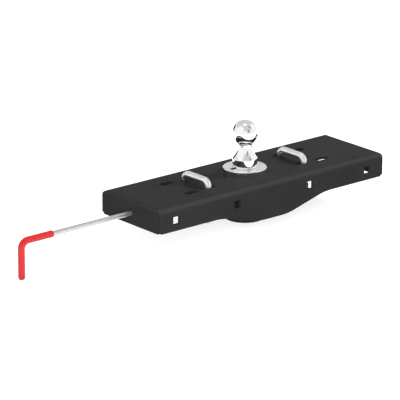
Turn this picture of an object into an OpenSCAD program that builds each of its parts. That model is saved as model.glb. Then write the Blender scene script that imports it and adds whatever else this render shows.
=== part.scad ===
// Gooseneck hitch head for the bed of a pickup: a flanged steel deck with a trailer ball in a
// pinned socket, two sprung safety-chain loops and a pull-and-turn release handle.
// Origin: centre of the deck's top face, on the ball's axis. X runs along the deck, away from
// the handle, -Y is the front flange and +Z is up. Millimetres.

/* [Deck] */
// Length of the deck
deck_l = 660; // [640:5:700]
// Width of the deck over the long flanges
deck_w = 200; // [196:1:206]
// Thickness of the steel plate
plate_t = 6.35; // [5:0.05:7]
// Depth of the flanges at the ends of the deck
flange_h = 55.5; // [54:0.5:60]
// Depth of the long flanges below the socket
belly_h = 84.5; // [80:0.5:90]
// Length of the level part of the belly
belly_flat_l = 86; // [70:1:100]
// Slope of the belly in degrees
belly_slope = 15; // [12:1:18]
// Outside radius of the long bends
long_bend_r = 14; // [12:1:18]
// Outside radius of the end bends
end_bend_r = 8; // [8:1:12]
// Width of the square bolt holes in the long flanges
square_hole_w = 18; // [16:0.5:20]
// Distance of the square bolt holes below the deck
square_hole_drop = 31.5; // [30:0.5:33]
// Distance from the centre to the inner square holes
inner_hole_x = 107; // [105:1:110]
// Distance from the centre to the outer square holes
outer_hole_x = 282; // [270:1:290]
// Distance from the centre to the mounting slots along the deck
slot_x = 193; // [188:1:195]
// Distance from the centre to the mounting slots across the deck
slot_y = 42; // [41:1:46]
// Length of the mounting slots
slot_l = 38; // [36:1:46]
// Width of the mounting slots
slot_w = 18; // [16:0.5:20]

/* [Ball and socket] */
// Diameter of the trailer ball
ball_d = 58.74; // [50.8:0.01:60]
// Height of the ball's centre above the deck
ball_z = 89.5; // [87:0.5:94]
// Diameter of the ball's neck
neck_d = 32; // [28:1:34]
// Diameter of the ball's collar
collar_d = 57; // [54:1:60]
// Diameter of the ball's shank
shank_d = 50.8; // [50:0.1:51]
// Outside diameter of the socket tube
socket_d = 89; // [86:1:92]
// Depth of the socket tube below the deck
socket_h = 109; // [106:1:115]
// Outside diameter of the ring around the ball
ring_d = 99; // [97:0.5:102]
// Height of the ring above the deck
ring_h = 10; // [7:0.5:11]

/* [Latch] */
// Diameter of the locking pins
pin_d = 19; // [17:0.5:19]
// Distance of the pins and of the handle rod below the deck
rod_drop = 30; // [30:0.5:31]
// Travel of the handle and the pins
travel = 16; // [14:0.5:16]
// Diameter of the handle rod
rod_d = 11.1; // [9.5:0.1:12.7]
// Distance from the centre to the handle's leg
handle_x = 630; // [600:1:640]
// Lowest point of the handle grip below the deck
handle_drop = 116.5; // [110:0.5:125]
// Diameter of the handle grip
grip_d = 15.5; // [13:0.5:16]

/* [Chain loops] */
// Distance from the centre to each chain loop
loop_x = 141.5; // [140:0.5:142]
// Distance between the two legs of a chain loop
loop_span = 80; // [78:1:86]
// Diameter of the chain loop's bar
loop_bar_d = 15.88; // [12:0.02:16]
// Height of the bar's axis above the deck
loop_h = 13.5; // [13:0.5:18]
// Lift of a chain loop
loop_lift = 25; // [20:1:25]

/* [Hidden] */

$fn = 64;
fine = 128;        // fragments of the large round surfaces
eps = 0.5;         // overshoot of a cut past a face
gap = 0.3;         // clearance between parts that move past each other
fit = 0.07;        // radial running clearance of pins and shafts

coat = [0.10, 0.10, 0.105];
zinc = [0.78, 0.79, 0.80];
bright = [0.88, 0.89, 0.90];
vinyl = [0.85, 0.10, 0.10];

inner_y = deck_w / 2 - plate_t;       // inside face of a long flange
inner_x = deck_l / 2 - plate_t;       // inside face of an end flange
belly_r = 150;                        // blend radius along the belly's edge
corner_r = 7;                         // rounding of the flanges' lower corners
seam_w = 0.6;                         // open seam at the corners of the deck
rod_r = rod_d / 2;
pin_r = pin_d / 2;
rod_z = -rod_drop;

// Ball: heights are above the deck
ball_r = ball_d / 2;
flat_r = 12;                          // radius of the flat on top of the ball
neck_r = neck_d / 2;
collar_r = collar_d / 2;
flare_top = 58;
flare_base = 31;
flare_r = 50.8;                       // radius of the hollow flare above the collar
taper_z = 14;                         // where the collar starts to draw in
rim_r = collar_r - 0.35;              // radius of the collar's upper rim
shank_r = shank_d / 2;
shank_h = 100;                        // depth of the shank below the deck
shank_end_r = 3;
groove_r = 17;                        // radius at the bottom of the locking groove
groove_w = pin_d + 0.8;

// Socket
socket_r = socket_d / 2;
bore_r = shank_r + fit;
floor_t = 6;
drain_r = 8;
ring_bore_r = shank_r + 0.4;
ring_edge = 0.8;
ring_hole_r = 4.5;
ring_hole_at = [-33, 4];              // place of the small drain hole in the ring

// Latch: the rocker lever turns about a stud beside the handle rod
pivot = [-102, -30];
lever_arm = 30;                       // from the pivot to the rod's axis
lever_swing = atan(travel / 2 / lever_arm);
lever_t = 6;
lever_z = rod_z + 10;                 // underside of the lever
lever_w = 20;
stud_r = 4;
pivot_r = 6;
link_arm = travel / 2 / sin(lever_swing);
strap_z = rod_z + 1;                  // underside of the link strap
strap_t = 6;
strap_w = 20;
strap_y = pivot[1] - link_arm + 0.5;
link_x = pivot[0] - travel / 2;       // rest place of the lever's outer stud
yoke_x = pivot[0] + travel / 2;       // rest place of the yoke's stud
yoke_l = 16;
yoke_w = 24;
yoke_h = 18;
tip_x = groove_r + 1;                 // distance of the pins' tips from the ball's axis
pin_left_end = yoke_x + yoke_l / 2 + gap;
link_bolt_x = 96;
pin_right_end = link_bolt_x + 10;
link_bolt_r = 3;
washer_t = 1.5;
gusset_x = 75;
gusset_t = 6;
gusset_h = 56;
bracket_x = -210;                     // outer face of the rod bracket
bracket_t = 6;
bracket_w = 30;
spring_wire = 2.2;
spring_r = 8.2;                       // mean radius of the lock spring
spring_end = yoke_x - yoke_l / 2 - washer_t;
stop_x = -deck_l / 2 + plate_t + 2.8; // rest place of the stop pin in the rod
stop_r = 2.5;
stop_top = rod_z + 11.6;
wall_hole_r = rod_r + 0.9;
notch_w = 6.6;
notch_top = rod_z + 12.4;
rod_end = -64;                        // inner end of the rod, inside the left pin
cross_x = rod_end - 10;               // place of the pin across the rod's inner end
cross_r = 2;
bend_r = 17.5;                        // bend of the rod's axis at the handle
grip_start = -546;

// Chain loops
bar_r = loop_bar_d / 2;
loop_y = loop_span / 2;
loop_bend_r = 14;                     // bend of the bar's axis
loop_end = -82;                       // lower end of the legs
loop_slot_w = loop_bar_d + 0.8;
loop_slot_in = 19;                    // how far the leg's slot runs towards the ball
loop_slot_out = 8;
seat_r = 15;
seat_t = 2.5;
coil_wire = 3.2;
coil_r = 10.2;                        // mean radius of the loop springs
nut_h = 15;
nut_z = loop_end + 1.5;               // underside of the lock nuts
nut_af = 23.8;
under = -plate_t;                     // underside of the deck
coil_z = nut_z + nut_h + seat_t;      // lower end of the loop springs
coil_h = under - seat_t - coil_z;
coil_turns = floor((coil_h - loop_lift) / coil_wire) - 2;

// ---------- helpers ----------

function arc(c, r, from, to, n) =
  [for (i = [0:n]) c + r * [cos(from + (to - from) * i / n), sin(from + (to - from) * i / n)]];

// Centre of a circle of radius r through p and q, to the right of the way from q to p
function arc_centre(p, q, r) =
  let (d = p - q, l = norm(d), n = [d[1], -d[0]] / l)
  (p + q) / 2 + n * sqrt(r * r - l * l / 4);

// Rectangle below the X axis with rounded upper corners
module round_top(w, h, r) {
  translate([-w / 2, -h]) square([w, h - r]);
  translate([-w / 2 + r, -2 * r]) square([w - 2 * r, 2 * r]);
  for (s = [-1, 1]) translate([s * (w / 2 - r), -r]) circle(r);
}

// Round-ended slot along X
module slot(l, w) {
  square([l - w, w], center = true);
  for (s = [-1, 1]) translate([s * (l - w) / 2, 0]) circle(d = w);
}

// Cylinder along X from x0 to x1 at the rod's height
module rod_x(x0, x1, r) translate([x0, 0, rod_z]) rotate([0, 90, 0]) cylinder(h = x1 - x0, r = r);

// Flat ring standing on z
module washer(r, bore, t) difference() {
  cylinder(h = t, r = r);
  translate([0, 0, -eps]) cylinder(h = t + 2 * eps, r = bore);
}

// Hexagon nut standing on z
module hex_nut(af, h, bore) difference() {
  cylinder(h = h, d = af / cos(30), $fn = 6);
  translate([0, 0, -eps]) cylinder(h = h + 2 * eps, r = bore);
}

// Points of a ring of n corners around point c, where u and v span its plane
function ring_at(c, u, v, r, n) =
  [for (k = [0:n - 1]) c + r * (cos(360 * k / n) * u + sin(360 * k / n) * v)];

// Compression spring standing on z: height h over the wire, whole turns of wire
module coil(h, r, wire, turns) {
  sides = 6;
  per_turn = 14;
  steps = turns * per_turn;
  rise = h - wire;
  rings = [for (i = [0:steps])
    let (a = 360 * i / per_turn, f = i / steps,
         // the first and last turn lie nearly flat, as closed ends do
         z = wire / 2 + rise * (f - sin(360 * f) / 360 * 26))
    ring_at([r * cos(a), r * sin(a), z], [cos(a), sin(a), 0], [0, 0, 1], wire / 2, sides)];
  points = [for (g = rings) each g];
  walls = [for (i = [0:steps - 1], k = [0:sides - 1])
    let (a = i * sides + k, b = i * sides + (k + 1) % sides)
    each [[a, b + sides, b], [a, a + sides, b + sides]]];
  first = [for (k = [0:sides - 1]) k];
  last = [for (k = [sides - 1:-1:0]) steps * sides + k];
  polyhedron(points, concat(walls, [first, last]), convexity = 10);
}

// ---------- deck and its welded pieces ----------

function belly_side() =
  let (blend = belly_r * tan(belly_slope / 2),
       top_x = belly_flat_l / 2 + (belly_h - flange_h) / tan(belly_slope))
  concat(
    arc([belly_flat_l / 2 - blend, belly_r - belly_h], belly_r, -90, belly_slope - 90, 6),
    arc([top_x + blend, -flange_h - belly_r], belly_r, 90 + belly_slope, 90, 6));

// Outline of the deck seen from the front
module front_outline(l, r) {
  side = belly_side();
  n = len(side);
  edge = side[n - 1][0];
  round_top(l, flange_h, r);
  polygon(concat(
    side,
    [[edge, -flange_h + long_bend_r], [-edge, -flange_h + long_bend_r]],
    [for (i = [n - 1:-1:0]) [-side[i][0], side[i][1]]]));
}

module along_x(l) rotate([90, 0, 90]) linear_extrude(l, center = true) children();
module along_y(l) rotate([90, 0, 0]) linear_extrude(l, center = true) children();

// Cutter that rounds the outer lower corner at the origin, for a flange that lies in XZ
module corner_cut(t) rotate([90, 0, 0]) linear_extrude(2 * t, center = true) difference() {
  translate([-eps, -eps]) square(corner_r + eps);
  translate([corner_r, corner_r]) circle(corner_r);
}

module deck_solid() {
  difference() {
    intersection() {
      along_x(deck_l) round_top(deck_w, belly_h, long_bend_r);
      along_y(deck_w + 2 * eps) front_outline(deck_l, end_bend_r);
    }
    translate([0, 0, -plate_t]) intersection() {
      along_x(2 * inner_x) round_top(2 * inner_y, belly_h, long_bend_r - plate_t);
      along_y(deck_w) round_top(2 * inner_x, belly_h + eps, end_bend_r - plate_t);
    }
  }
}

// Mirrors its children to one of the deck's four corners
module at_corner(sx, sy) mirror([sx < 0 ? 1 : 0, 0, 0]) mirror([0, sy < 0 ? 1 : 0, 0]) children();

module deck_shell() color(coat) difference() {
  deck_solid();
  for (sx = [-1, 1], sy = [-1, 1]) at_corner(sx, sy) {
    // open seam where the two flanges meet
    translate([deck_l / 2 - plate_t / 2, deck_w / 2 - plate_t / 2, -flange_h / 2 - 8])
      rotate([0, 0, 45]) cube([3 * plate_t, seam_w, flange_h], center = true);
    translate([deck_l / 2, deck_w / 2, -flange_h]) mirror([1, 0, 0]) corner_cut(plate_t);
    translate([deck_l / 2, deck_w / 2, -flange_h]) rotate([0, 0, 90]) mirror([1, 0, 0])
      corner_cut(plate_t);
  }
  for (s = [-1, 1], x = [inner_hole_x, outer_hole_x])
    translate([s * x, 0, -square_hole_drop])
      cube([square_hole_w, deck_w + 2 * eps, square_hole_w], center = true);
  translate([0, 0, under - eps]) linear_extrude(plate_t + 2 * eps) {
    for (sx = [-1, 1], sy = [-1, 1]) {
      translate([sx * slot_x, sy * slot_y]) slot(slot_l, slot_w);
      translate([sx * (loop_x - (loop_slot_in - loop_slot_out) / 2), sy * loop_y])
        slot(loop_slot_in + loop_slot_out, loop_slot_w);
    }
  }
  translate([0, 0, under - eps]) cylinder(h = plate_t + 2 * eps, r = socket_r, $fn = fine);
  // round hole with a keyway above it for the handle rod
  rod_x(-deck_l / 2 - eps, -inner_x + eps, wall_hole_r);
  translate([-deck_l / 2 - eps, -notch_w / 2, rod_z])
    cube([plate_t + 2 * eps, notch_w, notch_top - rod_z]);
}

// Cross plate with a bore for a locking pin and a window for the link strap
module gusset(x) color(coat) difference() {
  translate([x, 0, 0]) rotate([90, 0, 90]) linear_extrude(gusset_t, center = true) polygon([
    [-inner_y, -gusset_h], [inner_y, -gusset_h],
    [inner_y, under - long_bend_r + plate_t], [inner_y - long_bend_r + plate_t, under],
    [-inner_y + long_bend_r - plate_t, under], [-inner_y, under - long_bend_r + plate_t]]);
  rod_x(x - gusset_t, x + gusset_t, pin_r + fit);
  translate([x, strap_y, strap_z + strap_t / 2])
    cube([2 * gusset_t, strap_w + 4, strap_t + 4], center = true);
}

module gusset_left() gusset(-gusset_x);
module gusset_right() gusset(gusset_x);

// Plate from the socket tube to a long flange, below the link strap
module brace(side) color(coat) difference() {
  top = strap_z - 3;
  translate([-gusset_t / 2, side > 0 ? 0 : -inner_y, -belly_h + 2])
    cube([gusset_t, inner_y, belly_h - 2 + top]);
  translate([0, 0, -belly_h]) cylinder(h = belly_h, r = socket_r, $fn = fine);
}

module brace_front() brace(-1);
module brace_rear() brace(1);

module socket_tube() color(coat) difference() {
  translate([0, 0, -socket_h]) cylinder(h = socket_h, r = socket_r, $fn = fine);
  translate([0, 0, -socket_h - eps]) cylinder(h = socket_h + 2 * eps, r = bore_r, $fn = fine);
  rod_x(-socket_r - eps, socket_r + eps, pin_r + fit);
}

module socket_floor() color(coat) translate([0, 0, -socket_h]) washer(bore_r, drain_r, floor_t);

module socket_ring() color(bright) difference() {
  union() {
    cylinder(h = ring_h - ring_edge, d = ring_d, $fn = fine);
    translate([0, 0, ring_h - ring_edge])
      cylinder(h = ring_edge, d1 = ring_d, d2 = ring_d - 2 * ring_edge, $fn = fine);
  }
  translate([0, 0, -eps]) cylinder(h = ring_h + 2 * eps, r = ring_bore_r, $fn = fine);
  translate([ring_hole_at[0], ring_hole_at[1], 2]) cylinder(h = ring_h, r = ring_hole_r);
}

// Angle bracket that guides the rod and holds the outer end of the lock spring
module rod_bracket() color(coat) difference() {
  union() {
    translate([bracket_x, -bracket_w / 2, rod_z - 14])
      cube([bracket_t, bracket_w, under - rod_z + 14]);
    translate([bracket_x - 20, -bracket_w / 2, under - bracket_t])
      cube([20 + bracket_t, bracket_w, bracket_t]);
  }
  rod_x(bracket_x - eps, bracket_x + bracket_t + eps, rod_r + fit);
}

// ---------- ball ----------

module ball_outline() {
  flare = arc_centre([neck_r, flare_top], [rim_r - 0.2, flare_base], flare_r);
  top = ball_z + sqrt(ball_r * ball_r - flat_r * flat_r);
  neck_top = ball_z - sqrt(ball_r * ball_r - neck_r * neck_r);
  chamfer = 2.5;
  intersection() {
    translate([0, ball_z]) circle(ball_r, $fn = fine);
    translate([0, ball_z - ball_d]) square([ball_d, top - ball_z + ball_d]);
  }
  translate([0, flare_top - eps]) square([neck_r, neck_top - flare_top + 2]);
  polygon([[0, neck_top - chamfer], [neck_r, neck_top - chamfer],
           [neck_r + chamfer, neck_top + chamfer], [0, neck_top + chamfer]]);
  difference() {
    translate([0, flare_base]) square([rim_r, flare_top - flare_base]);
    translate(flare) circle(flare_r, $fn = fine);
  }
  polygon([[0, taper_z], [collar_r, taper_z], [rim_r, flare_base], [0, flare_base]]);
  translate([0, ring_h + gap]) square([collar_r, taper_z - ring_h - gap]);
  translate([0, -shank_h + shank_end_r]) square([shank_r, shank_h + ring_h + 1 - shank_end_r]);
  polygon([[0, -shank_h], [shank_r - shank_end_r, -shank_h],
           [shank_r, -shank_h + shank_end_r], [0, -shank_h + shank_end_r]]);
}

module hitch_ball() color(bright) rotate_extrude($fn = fine) difference() {
  ball_outline();
  translate([groove_r, rod_z - groove_w / 2]) square([ball_r, groove_w]);
}

// ---------- latch ----------

// Block that slides with the rod and carries the stud which works the lever
module drive_yoke() color(zinc) {
  difference() {
    translate([yoke_x - yoke_l / 2, -yoke_w / 2, lever_z - gap - yoke_h])
      cube([yoke_l, yoke_w, yoke_h]);
    rod_x(yoke_x - yoke_l, yoke_x + yoke_l, rod_r + fit);
  }
  translate([yoke_x, 0, lever_z - gap]) cylinder(h = lever_t + 4, r = stud_r);
}

module yoke_washer() color(zinc)
  translate([yoke_x, 0, lever_z + lever_t + gap]) washer(8, stud_r, 1.6);

module spring_washer() color(zinc) translate([spring_end, 0, rod_z]) rotate([0, 90, 0])
  washer(spring_r + spring_wire / 2 + gap, rod_r + 0.2, washer_t);

module lock_spring() color(zinc)
  translate([bracket_x + bracket_t, 0, rod_z]) rotate([0, 90, 0])
    coil(spring_end - bracket_x - bracket_t, spring_r, spring_wire, 13);

// Path of the handle: along -X, round the bend in XZ and down the leg
module handle_bend(r, bore = 0) {
  leg_x = -handle_x + bend_r;
  translate([leg_x, 0, rod_z - bend_r]) rotate([-90, 0, 0]) rotate([0, 0, 180])
    rotate_extrude(angle = 90) translate([bend_r, 0]) difference() {
      circle(r);
      if (bore > 0) circle(bore);
    }
}

// Cylinder down the handle's leg, from the end of the bend
module handle_leg(r, l) translate([-handle_x, 0, rod_z - bend_r - l]) cylinder(h = l, r = r);

leg_l = handle_drop - rod_drop - bend_r;

module handle_rod() color(zinc) {
  difference() {
    rod_x(-handle_x + bend_r, rod_end, rod_r);
    translate([stop_x, 0, rod_z - rod_d]) cylinder(h = 2 * rod_d, r = stop_r);
    translate([cross_x, 0, rod_z - rod_d]) cylinder(h = 2 * rod_d, r = cross_r);
  }
  handle_bend(rod_r);
  handle_leg(rod_r, leg_l - 3);
}

module handle_grip() color(vinyl) {
  difference() {
    rod_x(-handle_x + bend_r, grip_start, grip_d / 2);
    rod_x(-handle_x, grip_start + eps, rod_r);
  }
  handle_bend(grip_d / 2, rod_r);
  difference() {
    union() {
      handle_leg(grip_d / 2, leg_l - grip_d / 4);
      translate([-handle_x, 0, -handle_drop])
        cylinder(h = grip_d / 4, d1 = grip_d * 0.62, d2 = grip_d);
    }
    handle_leg(rod_r, leg_l - 3);
  }
}

module handle_stop_pin() color(zinc) translate([stop_x, 0, rod_z - rod_r])
  cylinder(h = stop_top - rod_z + rod_r, r = stop_r);

module locking_pin_left() color(zinc) difference() {
  union() {
    rod_x(pin_left_end, -tip_x - 1.5, pin_r);
    translate([-tip_x - 1.5, 0, rod_z]) rotate([0, 90, 0])
      cylinder(h = 1.5, r1 = pin_r, r2 = pin_r - 1.5);
  }
  rod_x(pin_left_end - eps, rod_end, rod_r);
  translate([cross_x, 0, rod_z - pin_r - eps]) cylinder(h = pin_d + 2 * eps, r = cross_r);
}

// Pin that holds the rod in the left locking pin
module rod_cross_pin() color(zinc)
  translate([cross_x, 0, rod_z]) cylinder(h = pin_d - 1, r = cross_r, center = true);

// ---------- rocker and link ----------

module lever_outline() {
  reach = (lever_arm / cos(lever_swing) + lever_arm) / 2;
  difference() {
    union() {
      translate([-lever_w / 2, -link_arm]) square([lever_w, link_arm + reach]);
      for (y = [-link_arm, reach]) translate([0, y]) circle(d = lever_w);
      circle(13);
    }
    circle(pivot_r + fit);
    translate([0, reach]) rotate(90) slot(2 * stud_r + 2.4, 2 * stud_r + 2 * gap);
    translate([0, -link_arm]) circle(stud_r);
  }
}

module at_pivot() translate([pivot[0], pivot[1], 0]) rotate([0, 0, -lever_swing]) children();

module rocker_lever() color(zinc)
  at_pivot() translate([0, 0, lever_z]) linear_extrude(lever_t) lever_outline();

module link_stud() color(zinc) at_pivot() translate([0, -link_arm, strap_z - 5]) {
  cylinder(h = lever_z + lever_t - strap_z + 5, r = stud_r);
  translate([0, 0, lever_z + lever_t - strap_z + 5]) cylinder(h = 2.5, r = stud_r + 2);
}

module link_nut() color(zinc)
  at_pivot() translate([0, -link_arm, strap_z - 5]) hex_nut(13, 4.6, stud_r);

module lever_stud() color(zinc) translate([pivot[0], pivot[1], lever_z - 10])
  cylinder(h = under - lever_z + 10, r = pivot_r);

module lever_washer() color(zinc)
  translate([pivot[0], pivot[1], lever_z - gap - 1.6]) washer(11, pivot_r, 1.6);

module lever_nut() color(zinc)
  translate([pivot[0], pivot[1], lever_z - gap - 1.6 - 6.4]) hex_nut(17, 6.4, pivot_r);

// Flat strap past the socket to the right locking pin
module link_strap() color(zinc) translate([0, 0, strap_z]) linear_extrude(strap_t) difference() {
  union() {
    translate([link_x, strap_y - strap_w / 2]) square([link_bolt_x - link_x, strap_w]);
    translate([link_x, strap_y]) circle(d = strap_w);
    translate([link_bolt_x - strap_w / 2, strap_y - strap_w / 2])
      square([strap_w, strap_w / 2 - strap_y]);
    translate([link_bolt_x, 0]) circle(d = strap_w);
  }
  translate([link_x, strap_y]) rotate(90) slot(2 * stud_r + 3, 2 * stud_r + 2 * gap);
  translate([link_bolt_x, 0]) circle(link_bolt_r);
}

module locking_pin_right() color(zinc) difference() {
  union() {
    rod_x(tip_x + 1.5, pin_right_end, pin_r);
    translate([tip_x, 0, rod_z]) rotate([0, 90, 0])
      cylinder(h = 1.5, r1 = pin_r - 1.5, r2 = pin_r);
  }
  // seat for the strap above and flat for the nut below
  translate([link_bolt_x - strap_w / 2 - gap, -pin_d, strap_z]) cube([strap_w * 2, 2 * pin_d, pin_d]);
  translate([link_bolt_x - 7.5, -pin_d, rod_z - pin_r - eps]) cube([strap_w * 2, 2 * pin_d, 2 + eps]);
  translate([link_bolt_x, 0, rod_z - pin_d]) cylinder(h = 2 * pin_d, r = link_bolt_r);
}

module link_bolt() color(zinc) translate([link_bolt_x, 0, rod_z - pin_r - 4]) {
  bolt_l = strap_z + strap_t - rod_z + pin_r + 4;
  cylinder(h = bolt_l, r = link_bolt_r);
  translate([0, 0, bolt_l]) cylinder(h = 4, d = 10 / cos(30), $fn = 6);
}

module link_bolt_nut() color(zinc)
  translate([link_bolt_x, 0, rod_z - pin_r + 2 - 5]) hex_nut(10, 5, link_bolt_r);

// ---------- chain loops ----------

module chain_loop(side) color(bright) translate([side * loop_x, 0, 0]) {
  for (s = [-1, 1]) {
    translate([0, s * loop_y, loop_end]) cylinder(h = loop_h - loop_bend_r - loop_end, r = bar_r);
    translate([0, s * (loop_y - loop_bend_r), loop_h - loop_bend_r])
      rotate([0, 0, s * 90]) rotate([90, 0, 0])
        rotate_extrude(angle = 90) translate([loop_bend_r, 0]) circle(bar_r);
  }
  translate([0, loop_bend_r - loop_y, loop_h]) rotate([-90, 0, 0])
    cylinder(h = 2 * (loop_y - loop_bend_r), r = bar_r);
}

module at_legs(side, z) for (s = [-1, 1]) translate([side * loop_x, s * loop_y, z]) children();

module spring_seats(side) color(zinc) at_legs(side, under - seat_t) washer(seat_r, bar_r + 0.4, seat_t);
module loop_washers(side) color(zinc) at_legs(side, nut_z + nut_h) washer(seat_r, bar_r, seat_t);
module loop_nuts(side) color(zinc) at_legs(side, nut_z) hex_nut(nut_af, nut_h, bar_r);
module loop_springs(side) color(zinc) at_legs(side, coil_z)
  coil(coil_h, coil_r, coil_wire, coil_turns);

module chain_loop_left() chain_loop(-1);
module chain_loop_right() chain_loop(1);
module loop_springs_left() loop_springs(-1);
module loop_springs_right() loop_springs(1);
module loop_washers_left() loop_washers(-1);
module loop_washers_right() loop_washers(1);
module loop_nuts_left() loop_nuts(-1);
module loop_nuts_right() loop_nuts(1);
module spring_seats_left() spring_seats(-1);
module spring_seats_right() spring_seats(1);

deck_shell();
gusset_left();
gusset_right();
brace_front();
brace_rear();
socket_tube();
socket_floor();
socket_ring();
rod_bracket();
lever_stud();
lever_washer();
lever_nut();
hitch_ball();
drive_yoke();
yoke_washer();
spring_washer();
lock_spring();
handle_rod();
handle_grip();
handle_stop_pin();
locking_pin_left();
rod_cross_pin();
rocker_lever();
link_stud();
link_nut();
link_strap();
locking_pin_right();
link_bolt();
link_bolt_nut();
chain_loop_left();
chain_loop_right();
loop_springs_left();
loop_springs_right();
loop_washers_left();
loop_washers_right();
loop_nuts_left();
loop_nuts_right();
spring_seats_left();
spring_seats_right();
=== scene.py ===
"""Looks of the gooseneck hitch head: smooth turned, bent and coiled pieces around the CAD frame,
procedural materials, a pale floor, soft studio light and a camera at three-quarter view."""

import math

import bmesh
import bpy
import numpy as np
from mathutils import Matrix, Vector


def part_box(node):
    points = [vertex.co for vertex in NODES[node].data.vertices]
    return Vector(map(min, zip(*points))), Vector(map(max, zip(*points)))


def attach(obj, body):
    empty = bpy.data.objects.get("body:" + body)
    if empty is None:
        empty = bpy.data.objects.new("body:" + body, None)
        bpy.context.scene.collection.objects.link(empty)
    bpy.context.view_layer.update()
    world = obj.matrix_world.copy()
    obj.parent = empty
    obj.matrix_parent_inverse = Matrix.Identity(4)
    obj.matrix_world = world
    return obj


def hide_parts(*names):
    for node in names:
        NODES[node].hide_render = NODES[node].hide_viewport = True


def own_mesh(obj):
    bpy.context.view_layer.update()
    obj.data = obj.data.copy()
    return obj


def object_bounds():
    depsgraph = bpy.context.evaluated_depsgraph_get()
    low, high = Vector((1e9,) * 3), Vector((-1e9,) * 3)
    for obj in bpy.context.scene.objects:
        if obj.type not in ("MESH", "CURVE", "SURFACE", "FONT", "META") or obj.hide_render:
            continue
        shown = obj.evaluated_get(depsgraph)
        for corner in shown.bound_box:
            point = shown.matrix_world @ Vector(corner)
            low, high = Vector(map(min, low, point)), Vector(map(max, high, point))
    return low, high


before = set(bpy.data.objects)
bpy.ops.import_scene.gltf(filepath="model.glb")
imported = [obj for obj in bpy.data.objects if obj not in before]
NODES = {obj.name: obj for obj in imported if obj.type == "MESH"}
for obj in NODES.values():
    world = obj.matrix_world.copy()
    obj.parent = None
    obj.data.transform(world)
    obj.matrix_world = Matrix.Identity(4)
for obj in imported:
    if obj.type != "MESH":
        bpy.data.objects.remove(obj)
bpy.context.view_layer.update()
MM = 0.001
GAP = 0.3  # mm between pieces that move past each other
DRAIN_AT, DRAIN_R = (-33, 4), 4.5  # mm, the drain hole through the ring
TAU = 2 * math.pi
COLOUR_A, COLOUR_B, COLOUR_OUT = 6, 7, 2  # colour sockets of a Mix node


# ---------- materials ----------

def new_material(name):
    mat = bpy.data.materials.new(name)
    mat.use_nodes = True
    return mat, mat.node_tree, mat.node_tree.nodes["Principled BSDF"]


def node(tree, kind, **values):
    made = tree.nodes.new(kind)
    for key, value in values.items():
        if key in made.inputs:
            made.inputs[key].default_value = value
        else:
            setattr(made, key, value)
    return made


def noise(tree, coords, scale, detail=2.0, stretch=(1, 1, 1)):
    """Noise in object space; stretch squeezes it along each axis."""
    source = coords
    if tuple(stretch) != (1, 1, 1):
        mapping = node(tree, "ShaderNodeMapping")
        mapping.inputs["Scale"].default_value = stretch
        tree.links.new(coords, mapping.inputs["Vector"])
        source = mapping.outputs["Vector"]
    made = node(tree, "ShaderNodeTexNoise", Scale=scale, Detail=detail)
    tree.links.new(source, made.inputs["Vector"])
    return made.outputs["Fac"]


def ramp(tree, fac, stops):
    """Colour read from stops, pairs of a position and a colour."""
    made = node(tree, "ShaderNodeValToRGB")
    made.color_ramp.elements[0].position = stops[0][0]
    made.color_ramp.elements[1].position = stops[-1][0]
    for position, _ in stops[1:-1]:
        made.color_ramp.elements.new(position)
    for element, (_, colour) in zip(made.color_ramp.elements, stops):
        element.color = (*colour, 1)
    tree.links.new(fac, made.inputs["Fac"])
    return made.outputs["Color"]


def grey(value):
    return (value, value, value)


def remap(tree, fac, low, high):
    """Value that runs from low to high as fac runs from 0 to 1."""
    made = node(tree, "ShaderNodeMapRange")
    made.inputs["To Min"].default_value = low
    made.inputs["To Max"].default_value = high
    tree.links.new(fac, made.inputs["Value"])
    return made.outputs["Result"]


def bump(tree, height, strength, distance, base=None):
    made = node(tree, "ShaderNodeBump", Strength=strength, Distance=distance)
    tree.links.new(height, made.inputs["Height"])
    if base is not None:
        tree.links.new(base, made.inputs["Normal"])
    return made.outputs["Normal"]


def object_coords(tree):
    return node(tree, "ShaderNodeTexCoord").outputs["Object"]


def upward(tree):
    """Height of the surface normal: 1 where it looks up, 0 on upright faces."""
    split = node(tree, "ShaderNodeSeparateXYZ")
    tree.links.new(node(tree, "ShaderNodeTexCoord").outputs["Normal"], split.inputs["Vector"])
    return split.outputs["Z"]


def mix_colour(tree, factor, colour, other):
    """Colour that turns into the fixed colour other as factor goes from 0 to 1."""
    made = node(tree, "ShaderNodeMix", data_type="RGBA")
    tree.links.new(factor, made.inputs["Factor"])
    tree.links.new(colour, made.inputs[COLOUR_A])
    made.inputs[COLOUR_B].default_value = (*other, 1)
    return made.outputs[COLOUR_OUT]


def powder_coat(name, texture=1.0):
    """Satin black powder coat: fine orange peel, faint mottling, and bends painted paler as a painted
    highlight.
    """
    mat, tree, shader = new_material(name)
    coords = object_coords(tree)
    shader.inputs["Specular IOR Level"].default_value = 0.025
    mottle = noise(tree, coords, 14, 4)
    colour = ramp(tree, mottle, [(0.3, (0.0100, 0.0100, 0.0105)), (0.75, (0.0125, 0.0125, 0.0131))])
    # painted highlight: the bends between level and upright faces are painted a little paler, for the light
    # they catch
    painted_bend_highlight = ramp(tree, upward(tree),
                  [(0.12, grey(0)), (0.50, grey(0.8)), (0.70, grey(1)), (0.86, grey(0.8)), (0.99, grey(0))])
    tree.links.new(mix_colour(tree, painted_bend_highlight, colour, (0.0172, 0.0172, 0.0177)), shader.inputs["Base Color"])
    grain = noise(tree, coords, 900, 2)
    tree.links.new(remap(tree, grain, 0.40, 0.52), shader.inputs["Roughness"])
    peel = bump(tree, noise(tree, coords, 420, 3), 0.22 * texture, 0.25 * MM)
    fine = bump(tree, grain, 0.18 * texture, 0.1 * MM, peel)
    tree.links.new(fine, shader.inputs["Normal"])
    return mat


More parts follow.
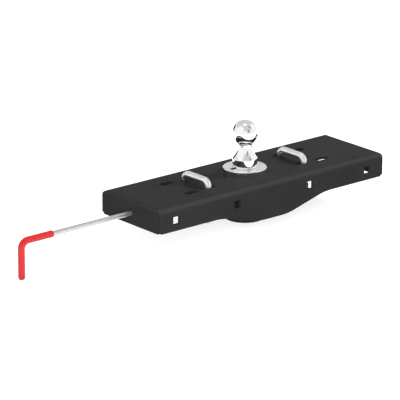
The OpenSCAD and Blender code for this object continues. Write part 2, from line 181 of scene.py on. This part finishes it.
def chrome(name, tone=0.9, smooth=0.02, worn=0.06):
    """Polished chrome with faint polishing marks and smears."""
    mat, tree, shader = new_material(name)
    coords = object_coords(tree)
    shader.inputs["Metallic"].default_value = 1.0
    smear = noise(tree, coords, 30, 5)
    colour = ramp(tree, smear, [(0.3, grey(tone - 0.03)), (0.7, (tone, tone + 0.005, tone + 0.01))])
    tree.links.new(colour, shader.inputs["Base Color"])
    marks = noise(tree, coords, 260, 4, (1, 1, 3))
    tree.links.new(remap(tree, marks, smooth, worn), shader.inputs["Roughness"])
    tree.links.new(bump(tree, smear, 0.03, 0.4 * MM), shader.inputs["Normal"])
    return mat


def turned(name, hole_at, hole_r):
    """Bright ring faced in a lathe: mirrors smear across the circular tool marks; painted shade in and
    round the drain hole.
    """
    mat, tree, shader = new_material(name)
    coords = object_coords(tree)
    shader.inputs["Specular IOR Level"].default_value = 0.0
    speckle = ramp(tree, noise(tree, coords, 420, 3), [(0.35, grey(0.86)), (0.62, grey(0.98))])
    from_hole = node(tree, "ShaderNodeVectorMath", operation="DISTANCE")
    flat = node(tree, "ShaderNodeVectorMath", operation="MULTIPLY")
    tree.links.new(coords, flat.inputs[0])
    flat.inputs[1].default_value = (1, 1, 0)
    tree.links.new(flat.outputs["Vector"], from_hole.inputs[0])
    from_hole.inputs[1].default_value = (hole_at[0] * MM, hole_at[1] * MM, 0)
    # painted shade: inside the drain hole and in a rim round it, the ring is painted near black and not
    # metallic
    hole_shade = node(tree, "ShaderNodeMath", operation="LESS_THAN")
    tree.links.new(from_hole.outputs["Value"], hole_shade.inputs[0])
    shade_rim = 1.0  # mm of painted shade round the hole
    hole_shade.inputs[1].default_value = (hole_r + shade_rim) * MM
    tree.links.new(remap(tree, hole_shade.outputs["Value"], 1, 0), shader.inputs["Metallic"])
    tree.links.new(mix_colour(tree, hole_shade.outputs["Value"], speckle, grey(0.01)),
                   shader.inputs["Base Color"])
    shader.inputs["Anisotropic Rotation"].default_value = 0.25
    tangent = node(tree, "ShaderNodeTangent", direction_type="RADIAL", axis="Z")
    tree.links.new(tangent.outputs["Tangent"], shader.inputs["Tangent"])
    # only the top face is turned, the rim is polished
    on_top = node(tree, "ShaderNodeMath", operation="GREATER_THAN")
    tree.links.new(upward(tree), on_top.inputs[0])
    on_top.inputs[1].default_value = 0.9
    tree.links.new(remap(tree, on_top.outputs["Value"], 0, 0.95), shader.inputs["Anisotropic"])
    grooves = remap(tree, noise(tree, coords, 90, 3), 0.20, 0.28)
    rough = node(tree, "ShaderNodeMath", operation="MULTIPLY_ADD")
    tree.links.new(on_top.outputs["Value"], rough.inputs[0])
    tree.links.new(grooves, rough.inputs[1])
    rough.inputs[2].default_value = 0.04
    tree.links.new(rough.outputs["Value"], shader.inputs["Roughness"])
    return mat


def plated(name, dark, light, smooth, rough, stretch=(1, 1, 1), grain=0.12, metallic=1.0):
    """Zinc-plated steel: cloudy tone, drawn streaks along stretch and a soft grain."""
    mat, tree, shader = new_material(name)
    coords = object_coords(tree)
    shader.inputs["Metallic"].default_value = metallic
    cloud = noise(tree, coords, 55, 4)
    tree.links.new(ramp(tree, cloud, [(0.3, dark), (0.7, light)]), shader.inputs["Base Color"])
    streak = noise(tree, coords, 500, 3, stretch)
    tree.links.new(remap(tree, streak, smooth, rough), shader.inputs["Roughness"])
    tree.links.new(bump(tree, streak, grain, 0.12 * MM), shader.inputs["Normal"])
    return mat


def vinyl(name):
    """Dipped red vinyl: a smooth thick skin with faint ripples."""
    mat, tree, shader = new_material(name)
    coords = object_coords(tree)
    tone = noise(tree, coords, 40, 3)
    tree.links.new(ramp(tree, tone, [(0.3, (0.22, 0.003, 0.004)), (0.7, (0.26, 0.006, 0.006))]),
                   shader.inputs["Base Color"])
    shader.inputs["Specular IOR Level"].default_value = 0.3
    shader.inputs["Coat Weight"].default_value = 0.12
    shader.inputs["Coat Roughness"].default_value = 0.18
    shader.inputs["Subsurface Weight"].default_value = 0.08
    shader.inputs["Subsurface Radius"].default_value = (1.2 * MM, 0.3 * MM, 0.2 * MM)
    fine = noise(tree, coords, 700, 2)
    tree.links.new(remap(tree, fine, 0.3, 0.42), shader.inputs["Roughness"])
    tree.links.new(bump(tree, noise(tree, coords, 160, 3), 0.12, 0.3 * MM), shader.inputs["Normal"])
    return mat


def nylon(name):
    """Milky nylon of the lock nuts' inserts."""
    mat, tree, shader = new_material(name)
    coords = object_coords(tree)
    tone = noise(tree, coords, 200, 2)
    tree.links.new(ramp(tree, tone, [(0.3, (0.55, 0.57, 0.56)), (0.7, (0.7, 0.71, 0.7))]),
                   shader.inputs["Base Color"])
    tree.links.new(remap(tree, noise(tree, coords, 900, 2), 0.4, 0.55), shader.inputs["Roughness"])
    return mat


COAT = powder_coat("powder_coat")
COAT_WELD = powder_coat("powder_coat_weld", 2.5)
CHROME = chrome("polished_chrome")
RING = turned("turned_ring", DRAIN_AT, DRAIN_R)
LOOP_ZINC = plated("bright_zinc", (0.80, 0.80, 0.81), (0.90, 0.90, 0.91), 0.30, 0.42)
ROD_ZINC = plated("drawn_zinc", (0.47, 0.47, 0.48), (0.55, 0.555, 0.565), 0.25, 0.42,
                  stretch=(0.06, 1, 1), grain=0.2, metallic=0.92)
ZINC = plated("zinc_plate", (0.52, 0.52, 0.53), (0.66, 0.665, 0.68), 0.28, 0.45)
SPRING = plated("spring_wire", (0.05, 0.05, 0.055), (0.09, 0.09, 0.10), 0.35, 0.5)
VINYL = vinyl("red_vinyl")
NYLON = nylon("nylon_insert")


# ---------- mesh helpers (lengths in millimetres, turned into metres at the end) ----------

def build(name, verts, faces, material, sharp=35):
    """Mesh object from points in mm, smooth except along edges over sharp degrees."""
    mesh = bpy.data.meshes.new(name)
    mesh.from_pydata([tuple(Vector(v) * MM) for v in verts], [], faces)
    mesh.validate()
    bm = bmesh.new()
    bm.from_mesh(mesh)
    bmesh.ops.remove_doubles(bm, verts=bm.verts, dist=1e-6)
    bmesh.ops.recalc_face_normals(bm, faces=bm.faces)
    for face in bm.faces:
        face.smooth = True
    for edge in bm.edges:
        edge.smooth = len(edge.link_faces) == 2 and edge.calc_face_angle(0) < math.radians(sharp)
    bm.to_mesh(mesh)
    bm.free()
    obj = bpy.data.objects.new(name, mesh)
    bpy.context.scene.collection.objects.link(obj)
    mesh.materials.append(material)
    return obj


def join(name, objects):
    bpy.ops.object.select_all(action="DESELECT")
    for obj in objects:
        obj.select_set(True)
    bpy.context.view_layer.objects.active = objects[0]
    bpy.ops.object.join()
    objects[0].name = name
    return objects[0]


def ring_faces(rings, around, closed=False):
    """Quads between successive rings of around points; closed joins the last to the first."""
    faces = []
    for i in range(rings if closed else rings - 1):
        for k in range(around):
            a, b = i * around + k, i * around + (k + 1) % around
            c, d = ((i + 1) % rings) * around + (k + 1) % around, ((i + 1) % rings) * around + k
            faces.append((a, b, c, d))
    return faces


def lathe(name, outline, material, centre=(0, 0), around=192, sharp=35):
    """Turns an outline of (radius, z) about a vertical axis; a radius of 0 closes an end."""
    turns = [(math.cos(TAU * k / around), math.sin(TAU * k / around)) for k in range(around)]
    verts = [(centre[0] + r * cos, centre[1] + r * sin, z) for r, z in outline for cos, sin in turns]
    faces = ring_faces(len(outline), around, closed=outline[0] == outline[-1])
    return build(name, verts, faces, material, sharp)


def sweep(name, path, radius, material, around=32):
    """Tube along a path; radius is one number or one per point."""
    path = np.array(path, float)
    count = len(path)
    radii = np.full(count, radius, float) if np.isscalar(radius) else np.array(radius, float)
    tangents = np.gradient(path, axis=0)
    tangents /= np.linalg.norm(tangents, axis=1)[:, None]
    side = np.cross(tangents[0], (0, 0, 1) if abs(tangents[0][2]) < 0.9 else (1, 0, 0))
    verts = []
    for point, tangent, r in zip(path, tangents, radii):
        side = side - tangent * side.dot(tangent)
        side /= np.linalg.norm(side)
        up = np.cross(tangent, side)
        for k in range(around):
            a = TAU * k / around
            verts.append(point + r * (math.cos(a) * side + math.sin(a) * up))
    faces = ring_faces(count, around)
    faces += [tuple(range(around))[::-1], tuple(range((count - 1) * around, count * around))]
    return build(name, verts, faces, material)


def arc(centre, radius, start, end, steps):
    """Points (x, y) on an arc, angles in degrees."""
    angles = np.radians(np.linspace(start, end, steps + 1))
    return [(centre[0] + radius * math.cos(a), centre[1] + radius * math.sin(a)) for a in angles]


def circle_centre(p, q, radius):
    """Centre of a circle through p and q that lies on the outer side of a falling outline."""
    p, q = np.array(p, float), np.array(q, float)
    d = p - q
    length = np.hypot(*d)
    normal = np.array([d[1], -d[0]]) / length
    return (p + q) / 2 + normal * math.sqrt(radius ** 2 - length ** 2 / 4)


def place(obj, body, *replaced):
    """Lets a piece ride on a body and stand in for the CAD nodes it replaces."""
    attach(obj, body)
    if replaced:
        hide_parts(*replaced)
    return obj


def millimetres(name):
    """Low and high corner of a CAD node's box, in mm."""
    low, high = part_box(name)
    return np.array(low) / MM, np.array(high) / MM


# ---------- ball ----------

def make_ball():
    low, high = millimetres("hitch_ball")
    ball_r = high[0]
    flat_r, neck_r, collar_r, rim_r, shank_r, groove_r = 12.0, 16.0, 28.5, 28.15, 25.4, 17.0
    centre_z = high[2] - math.sqrt(ball_r ** 2 - flat_r ** 2)
    flare_top, flare_base, flare_r = 58.0, 31.0, 50.8
    taper_z = 14.0
    foot_z = millimetres("socket_ring")[1][2] + GAP
    neck_fillet, edge = 4.0, 0.6
    pin_low, pin_high = millimetres("locking_pin_left")
    pin_z = (pin_low[2] + pin_high[2]) / 2
    groove = (pin_high[2] - pin_low[2]) / 2 + 0.4

    outline = [(0, high[2])]
    top_angle = math.degrees(math.acos(flat_r / ball_r))
    outline += [(flat_r - edge, high[2]), (flat_r - 0.3 * edge, high[2] - 0.12)]
    # the fillet circle touches the neck and the ball
    fillet_x = neck_r + neck_fillet
    fillet_z = centre_z - math.sqrt((ball_r + neck_fillet) ** 2 - fillet_x ** 2)
    touch = math.degrees(math.atan2(fillet_z - centre_z, fillet_x))
    outline += arc((0, centre_z), ball_r, top_angle - 1.5, touch, 96)
    outline += arc((fillet_x, fillet_z), neck_fillet, 180 + touch, 180, 12)[1:]
    outline += [(neck_r, flare_top + 1.5)]
    rim = (rim_r - 0.2, flare_base + edge / 2)
    flare_c = circle_centre((neck_r, flare_top), rim, flare_r)
    first = math.degrees(math.atan2(flare_top - flare_c[1], neck_r - flare_c[0]))
    last = math.degrees(math.atan2(rim[1] - flare_c[1], rim[0] - flare_c[0]))
    outline += arc(flare_c, flare_r, first % 360, last % 360, 40)
    collar_top = flare_base - edge / 2
    for z in (collar_top, collar_top - edge, taper_z + edge, taper_z):
        outline.append((rim_r + (collar_r - rim_r) * (collar_top - z) / (collar_top - taper_z), z))
    outline += [(collar_r, foot_z + edge), (collar_r - 0.25 * edge, foot_z + 0.25 * edge),
                (collar_r - edge, foot_z), (shank_r, foot_z)]
    outline += [(shank_r, pin_z + groove), (groove_r, pin_z + groove),
                (groove_r, pin_z - groove), (shank_r, pin_z - groove)]
    outline += [(shank_r, low[2] + 3), (shank_r - 3, low[2]), (0, low[2])]
    place(lathe("ball_turned", outline, CHROME, around=256), "ball", "hitch_ball")


make_ball()


# ---------- chain loops ----------

def bar_path(x, span, top, bend, end, steps=20):
    """Centre line of a chain loop from one leg's thread to the other's."""
    half = span / 2
    points = [(x, -half, z) for z in np.linspace(end, top - bend, 12)]
    points += [(x, -half + bend - bend * math.cos(a), top - bend + bend * math.sin(a))
               for a in np.linspace(0, math.pi / 2, steps + 1)[1:]]
    points += [(x, y, top) for y in np.linspace(-half + bend, half - bend, 12)[1:]]
    points += [(x, half - bend + bend * math.sin(a), top - bend + bend * math.cos(a))
               for a in np.linspace(0, math.pi / 2, steps + 1)[1:]]
    points += [(x, half, z) for z in np.linspace(top - bend, end, 12)[1:]]
    return points


def thread(name, centre, radius, low, high, material, pitch=2.31, depth=0.75, around=40):
    """Threaded length of a stud: a helical ridge on a core, with a chamfered lower end."""
    row_h, chamfer = 0.26, 1.4
    rows = int((high - low) / row_h)
    verts = []
    for i in range(rows + 1):
        z = low + (high - low) * i / rows
        start = min(1.0, (z - low) / chamfer)
        for k in range(around):
            phase = (z / pitch - k / around) % 1.0
            ridge = 1 - abs(2 * phase - 1)
            r = (radius - depth * ridge) * (0.86 + 0.14 * start)
            a = TAU * k / around
            verts.append((centre[0] + r * math.cos(a), centre[1] + r * math.sin(a), z))
    faces = ring_faces(rows + 1, around)
    faces += [tuple(range(around))[::-1], tuple(range(rows * around, (rows + 1) * around))]
    return build(name, verts, faces, material, sharp=50)


def make_chain_loop(side):
    name = f"chain_loop_{side}"
    low, high = millimetres(name)
    bar_r = (high[0] - low[0]) / 2
    x = (high[0] + low[0]) / 2
    span = high[1] - low[1] - 2 * bar_r
    thread_top = low[2] + 26
    bend = 14
    path = bar_path(x, span, high[2] - bar_r, bend, thread_top - 0.5)
    pieces = [sweep("bar", path, bar_r, LOOP_ZINC, around=48)]
    for s in (-1, 1):
        pieces.append(thread("thread", (x, s * span / 2), bar_r - 0.05, low[2], thread_top, LOOP_ZINC))
    place(join(f"{name}_bar", pieces), f"loop_{side}", name)


def hex_nut(name, centre, z, across, height, bore, material, collar=0.0, around=96):
    """Hexagon nut with chamfered corners; collar is the height of a nylon-insert crown."""
    flat = across / 2
    face_r = flat * 0.97
    hex_h = height - collar
    lead = 0.6  # chamfer of the bore
    rows = []
    for k in range(around):
        a = TAU * k / around
        reach = flat / math.cos((a % (TAU / 6)) - TAU / 12)
        cut = max(0.0, reach - flat * 0.99) * 0.55
        rows.append((a, reach, cut))

    def ring(radius, height_of):
        return [(centre[0] + radius(r, c) * math.cos(a), centre[1] + radius(r, c) * math.sin(a),
                 z + height_of(c)) for a, r, c in rows]

    rings = [ring(lambda r, c: bore, lambda c: lead), ring(lambda r, c: bore + lead, lambda c: 0.0),
             ring(lambda r, c: face_r, lambda c: 0.0), ring(lambda r, c: r, lambda c: c + 0.25),
             ring(lambda r, c: r, lambda c: hex_h - c - 0.25), ring(lambda r, c: face_r, lambda c: hex_h)]
    if collar:
        crown = flat * 0.88
        rings += [ring(lambda r, c: crown, lambda c: hex_h + 0.1),
                  ring(lambda r, c: crown, lambda c: height - 0.9),
                  ring(lambda r, c: crown - 0.9, lambda c: height),
                  ring(lambda r, c: bore + 1.7, lambda c: height),
                  ring(lambda r, c: bore + 1.4, lambda c: height - 0.6)]
    else:
        rings += [ring(lambda r, c: bore + lead, lambda c: hex_h)]
    rings += [ring(lambda r, c: bore, lambda c: (height if not collar else height - 0.7) - lead)]
    verts = [v for one in rings for v in one]
    return build(name, verts, ring_faces(len(rings), around, closed=True), material, sharp=25)


def leg_place(side):
    """X of a chain loop, the distance of its legs' axes from the centre line and their radius."""
    low, high = millimetres(f"chain_loop_{side}")
    radius = (high[0] - low[0]) / 2
    return (low[0] + high[0]) / 2, high[1] - radius, radius


def make_loop_nuts(side):
    low, high = millimetres(f"loop_nuts_{side}")
    x, leg_y, bar_r = leg_place(side)
    across = high[1] - low[1] - 2 * leg_y
    bore = bar_r - 0.15
    pieces = [hex_nut("nut", (x, s * leg_y), low[2], across, high[2] - low[2], bore, ZINC, collar=3.8)
              for s in (-1, 1)]
    # the nylon ring sits just under the crown's lip
    inner, outer = bore - 0.1, bore + 1.4
    top = high[2] - 1.0
    bottom = top - 1.6
    outline = [(inner, bottom), (inner, top), (outer, top), (outer, bottom), (inner, bottom)]
    inserts = [lathe("insert", outline, NYLON, (x, s * leg_y), 64) for s in (-1, 1)]
    place(join(f"loop_nuts_{side}_turned", pieces), f"loop_{side}", f"loop_nuts_{side}")
    place(join(f"loop_nut_inserts_{side}", inserts), f"loop_{side}")


def round_washer(name, centre, z0, z1, bore, radius, material, edge=0.35):
    """Flat washer from z0 up to z1 with its edges broken."""
    outline = [(bore, z0 + edge), (bore + edge, z0), (radius - edge, z0), (radius, z0 + edge),
               (radius, z1 - edge), (radius - edge, z1), (bore + edge, z1), (bore, z1 - edge),
               (bore, z0 + edge)]
    return lathe(name, outline, material, centre, 96, sharp=60)


def make_loop_washers(side):
    bar_r = leg_place(side)[2]
    for kind, body, play in (("loop_washers", f"loop_{side}", 0.05), ("spring_seats", "head", 0.4)):
        low, high = millimetres(f"{kind}_{side}")
        radius = (high[0] - low[0]) / 2
        x = (low[0] + high[0]) / 2
        pieces = [round_washer("washer", (x, s * ((high[1] - low[1]) / 2 - radius)), low[2], high[2],
                               bar_r + play, radius, ZINC) for s in (-1, 1)]
        place(join(f"{kind}_{side}_turned", pieces), body, f"{kind}_{side}")


for loop_side in ("left", "right"):
    make_chain_loop(loop_side)
    make_loop_nuts(loop_side)
    make_loop_washers(loop_side)


# ---------- springs ----------

def coil_path(height, radius, wire, turns, per_turn=40):
    """Compression spring with closed ends, standing on z = 0."""
    crowding = 26 / 360  # how much closer the end turns lie, as a share of the height
    steps = int(turns * per_turn)
    points = []
    for i in range(steps + 1):
        f = i / steps
        z = wire / 2 + (height - wire) * (f - math.sin(TAU * f) * crowding)
        a = TAU * i / per_turn
        points.append((radius * math.cos(a), radius * math.sin(a), z))
    return points


def make_loop_springs(side):
    """The two springs of a chain loop."""
    wire, radius, turns, lift = 3.2, 10.2, 7, 25
    low, high = millimetres(f"loop_springs_{side}")
    height = high[2] - low[2]
    x, leg_y, _ = leg_place(side)
    pieces = []
    for s in (-1, 1):
        path = [(x + px, s * leg_y + py, low[2] + pz)
                for px, py, pz in coil_path(height, radius, wire, turns)]
        pieces.append(sweep("coil", path, wire / 2, SPRING, around=14))
    spring = place(join(f"loop_springs_{side}_wire", pieces), "head", f"loop_springs_{side}")
    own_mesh(spring)


def make_lock_spring():
    """The spring on the handle's rod."""
    wire, radius, turns, travel = 2.2, 8.2, 13, 16
    low, high = millimetres("lock_spring")
    pin_low, pin_high = millimetres("locking_pin_left")
    z = (pin_low[2] + pin_high[2]) / 2
    length = high[0] - low[0]
    path = [(low[0] + pz, py, z - px) for px, py, pz in coil_path(length, radius, wire, turns)]
    spring = place(sweep("lock_spring_wire", path, wire / 2, SPRING, around=12), "head", "lock_spring")
    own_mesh(spring)


make_loop_springs("left")
make_loop_springs("right")
make_lock_spring()


# ---------- handle ----------

def handle_path(leg_x, z, bend, start, end, steps=28):
    """Along -X from start, round the bend and down the leg to end."""
    points = [(x, 0, z) for x in np.linspace(start, leg_x + bend, 24)]
    points += [(leg_x + bend - bend * math.sin(a), 0, z - bend + bend * math.cos(a))
               for a in np.linspace(0, math.pi / 2, steps + 1)[1:]]
    points += [(leg_x, 0, zz) for zz in np.linspace(z - bend, end, 24)[1:]]
    return points


def make_grip():
    low, high = millimetres("handle_grip")
    radius = (high[1] - low[1]) / 2
    z = high[2] - radius
    leg_x = low[0] + radius
    bend, inset = 17.5, 0.01
    path = np.array(handle_path(leg_x, z, bend, high[0] - inset, low[2] + inset))
    length = np.concatenate([[0], np.cumsum(np.linalg.norm(np.diff(path, axis=0), axis=1))])
    # denser points at both ends carry the rolled lip and the rounded tip
    total = length[-1]
    lip_l, lip_h = 3, 1.1
    places = np.concatenate([np.linspace(0, lip_l, 10), np.linspace(lip_l, total - radius, 150)[1:],
                             total - radius + radius * np.sin(np.linspace(0, math.pi / 2, 14))[1:]])
    points = np.stack([np.interp(places, length, path[:, i]) for i in range(3)], axis=1)
    radii = np.full(len(places), radius)
    lip = places < lip_l
    radii[lip] = radius - lip_h + lip_h * np.sqrt(np.clip(1 - (1 - places[lip] / lip_l) ** 2, 0, 1))
    tip = places > total - radius
    t = (places[tip] - (total - radius)) / radius
    bluntness = 2.6
    radii[tip] = radius * np.clip(1 - t ** bluntness, 0.0004, 1) ** (1 / bluntness)
    place(sweep("handle_grip_dipped", points, radii, VINYL, around=40), "handle", "handle_grip")


make_grip()


# ---------- weld beads ----------

def weld(name, path, radius=2.4, step=2.2):
    """Bead along a corner, with the ripples of a hand-run weld."""
    path = np.array(path, float)
    length = np.concatenate([[0], np.cumsum(np.linalg.norm(np.diff(path, axis=0), axis=1))])
    places = np.arange(0, length[-1], step / 5)
    points = np.stack([np.interp(places, length, path[:, i]) for i in range(3)], axis=1)
    phase = (places / step) % 1.0
    radii = radius * (0.93 + 0.09 * np.abs(np.sin(math.pi * phase)) + 0.05 * np.sin(places * 0.37))
    ends = np.minimum(places, places[-1] - places)
    radii *= np.clip(0.45 + ends / 4, 0, 1)
    return sweep(name, points, radii, COAT_WELD, around=12)


def straight(a, b, count=20):
    """Points on the line from a to b."""
    return [tuple(np.array(a) + (np.array(b) - np.array(a)) * f) for f in np.linspace(0, 1, count)]


def make_welds():
    beads = []
    tube_low, tube_high = millimetres("socket_tube")
    tube_r = tube_high[0]
    under = millimetres("rod_bracket")[1][2]
    seat = 0.6  # how far a bead's centre stands off the corner
    side_top, top_outer, top_inner = -22, 76, 46  # where the gussets' beads start and end
    circle = [((tube_r + seat) * math.cos(a), (tube_r + seat) * math.sin(a), under - seat)
              for a in np.linspace(0, TAU, 160)]
    beads.append(weld("bead", circle, 3.0))
    for brace, s in (("brace_front", -1), ("brace_rear", 1)):
        low, high = millimetres(brace)
        far = low[1] if s < 0 else high[1]
        for x, out in ((low[0], -seat), (high[0], seat)):
            edge = s * math.sqrt(tube_r ** 2 - x ** 2)
            for y in (edge + s * seat, far - s * seat):
                beads.append(weld("bead", straight((x + out, y, low[2] + 3), (x + out, y, high[2] - 2))))
    for gusset in ("gusset_left", "gusset_right"):
        low, high = millimetres(gusset)
        for x, out in ((low[0], -seat), (high[0], seat)):
            for s in (-1, 1):
                y = s * (high[1] - seat)
                beads.append(weld("bead", straight((x + out, y, low[2] + 2), (x + out, y, side_top))))
                beads.append(weld("bead", straight((x + out, s * top_outer, under - seat),
                                                   (x + out, s * top_inner, under - seat))))
    low, high = millimetres("rod_bracket")
    for y in (low[1] - seat, high[1] + seat):
        bead = straight((low[0] + 2, y, under - seat), (high[0] - 2, y, under - seat))
        beads.append(weld("bead", bead, 1.9))
    place(join("weld_beads", beads), "head")


make_welds()


# ---------- materials of the CAD nodes that stay ----------

NODE_MATERIALS = {
    COAT: ["deck_shell", "gusset_left", "gusset_right", "brace_front", "brace_rear", "socket_tube",
           "socket_floor", "rod_bracket"],
    RING: ["socket_ring"],
    ROD_ZINC: ["handle_rod", "locking_pin_left", "locking_pin_right", "link_strap", "rocker_lever"],
    ZINC: ["lever_stud", "lever_washer", "lever_nut", "drive_yoke", "yoke_washer", "spring_washer",
           "handle_stop_pin", "rod_cross_pin", "link_stud", "link_nut", "link_bolt", "link_bolt_nut"],
}
for material, names in NODE_MATERIALS.items():
    for name in names:
        NODES[name].data.materials.clear()
        NODES[name].data.materials.append(material)


# ---------- floor, light and camera ----------

def make_floor():
    """Wide pale floor just under the lowest piece, faintly lit so that shadows on it stay soft."""
    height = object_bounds()[0][2] / MM - 0.5
    size = 9000
    mat, tree, shader = new_material("pale_floor")
    coords = object_coords(tree)
    tree.links.new(ramp(tree, noise(tree, coords, 3, 2), [(0.2, grey(0.34)), (0.8, grey(0.36))]),
                   shader.inputs["Base Color"])
    shader.inputs["Roughness"].default_value = 0.9
    shader.inputs["Specular IOR Level"].default_value = 0.1
    shader.inputs["Emission Color"].default_value = (1, 1, 1, 1)
    shader.inputs["Emission Strength"].default_value = 0.75
    corners = [(-size, -size, height), (size, -size, height), (size, size, height), (-size, size, height)]
    build("floor", corners, [(0, 1, 2, 3)], mat)


def area_light(name, place_at, target, size, power):
    """Soft round light that isn't mirrored in the bright pieces."""
    data = bpy.data.lights.new(name, "AREA")
    data.shape = "DISK"
    data.size = size
    data.energy = power
    obj = bpy.data.objects.new(name, data)
    bpy.context.scene.collection.objects.link(obj)
    obj.location = place_at
    obj.rotation_euler = (Vector(target) - Vector(place_at)).to_track_quat("-Z", "Y").to_euler()
    obj.visible_glossy = False


# The studio that the bright pieces mirror: white walls, and over them, in this order, direction,
# angles of the even middle and the faded edge in degrees, and brightness
WALL_TONE = 1.0
STUDIO = [
    ((0.00, 0.00, 1.00), 55, 64, 0.68),    # grey ceiling
    ((0.61, 0.73, 0.40), 22, 40, 0.68),    # which comes down behind the object
    ((-0.82, 0.05, 0.55), 20, 40, 1.05),   # broad white screen past the handle
    ((0.80, -0.35, 0.50), 16, 30, 1.05),   # white screen at the far end
    ((-0.07, -0.90, 0.40), 6, 17, 0.35),   # open, darker room in front
    ((0.33, -0.55, 0.77), 5, 15, 0.42),    # and above that
    ((-0.10, 0.99, 0.05), 13, 22, 0.05),   # dark corner behind
    ((0.00, 0.00, 1.00), 3, 12, 3.00),     # lamp overhead
]


def make_light():
    """The studio's walls as the world, and two soft lights."""
    world = bpy.data.worlds.new("studio")
    bpy.context.scene.world = world
    world.use_nodes = True
    tree = world.node_tree
    direction = node(tree, "ShaderNodeTexCoord").outputs["Generated"]
    tone = None
    for towards, middle, edge, value in STUDIO:
        dot = node(tree, "ShaderNodeVectorMath", operation="DOT_PRODUCT")
        tree.links.new(direction, dot.inputs[0])
        dot.inputs[1].default_value = Vector(towards).normalized()
        fade = node(tree, "ShaderNodeMapRange", interpolation_type="SMOOTHSTEP")
        tree.links.new(dot.outputs["Value"], fade.inputs["Value"])
        fade.inputs["From Min"].default_value = math.cos(math.radians(edge))
        fade.inputs["From Max"].default_value = math.cos(math.radians(middle))
        mix = node(tree, "ShaderNodeMix", data_type="FLOAT")
        tree.links.new(fade.outputs["Result"], mix.inputs["Factor"])
        if tone is None:
            mix.inputs["A"].default_value = WALL_TONE
        else:
            tree.links.new(tone, mix.inputs["A"])
        mix.inputs["B"].default_value = value
        tone = mix.outputs["Result"]
    background = tree.nodes["Background"]
    background.inputs["Color"].default_value = (1, 1, 1, 1)
    tree.links.new(tone, background.inputs["Strength"])
    area_light("key", (3.3, -0.6, 2.1), (0, 0, 0), 0.8, 330)
    area_light("front_fill", (-1.7, -1.9, 0.6), (0, 0, 0), 1.6, 145)


def make_camera():
    """Three-quarter view from the handle's end, from a distance with a long lens."""
    azimuth, elevation = math.radians(-40.06), math.radians(18.16)
    distance = 7.613
    away = Vector((math.sin(azimuth) * math.cos(elevation), -math.cos(azimuth) * math.cos(elevation),
                   math.sin(elevation)))
    right = Vector((math.cos(azimuth), math.sin(azimuth), 0))
    up = away.cross(right)
    left, down = 0.10054, 0.06585  # metres from the ball's axis to the middle of the view
    aim = -left * right - down * up
    data = bpy.data.cameras.new("camera")
    data.sensor_width = 36
    data.lens = 305.2
    data.clip_end = 100
    camera = bpy.data.objects.new("camera", data)
    bpy.context.scene.collection.objects.link(camera)
    camera.location = aim + away * distance
    camera.rotation_euler = away.to_track_quat("Z", "Y").to_euler()
    bpy.context.scene.camera = camera


make_floor()
make_light()
make_camera()
bpy.context.scene.view_settings.view_transform = "Standard"
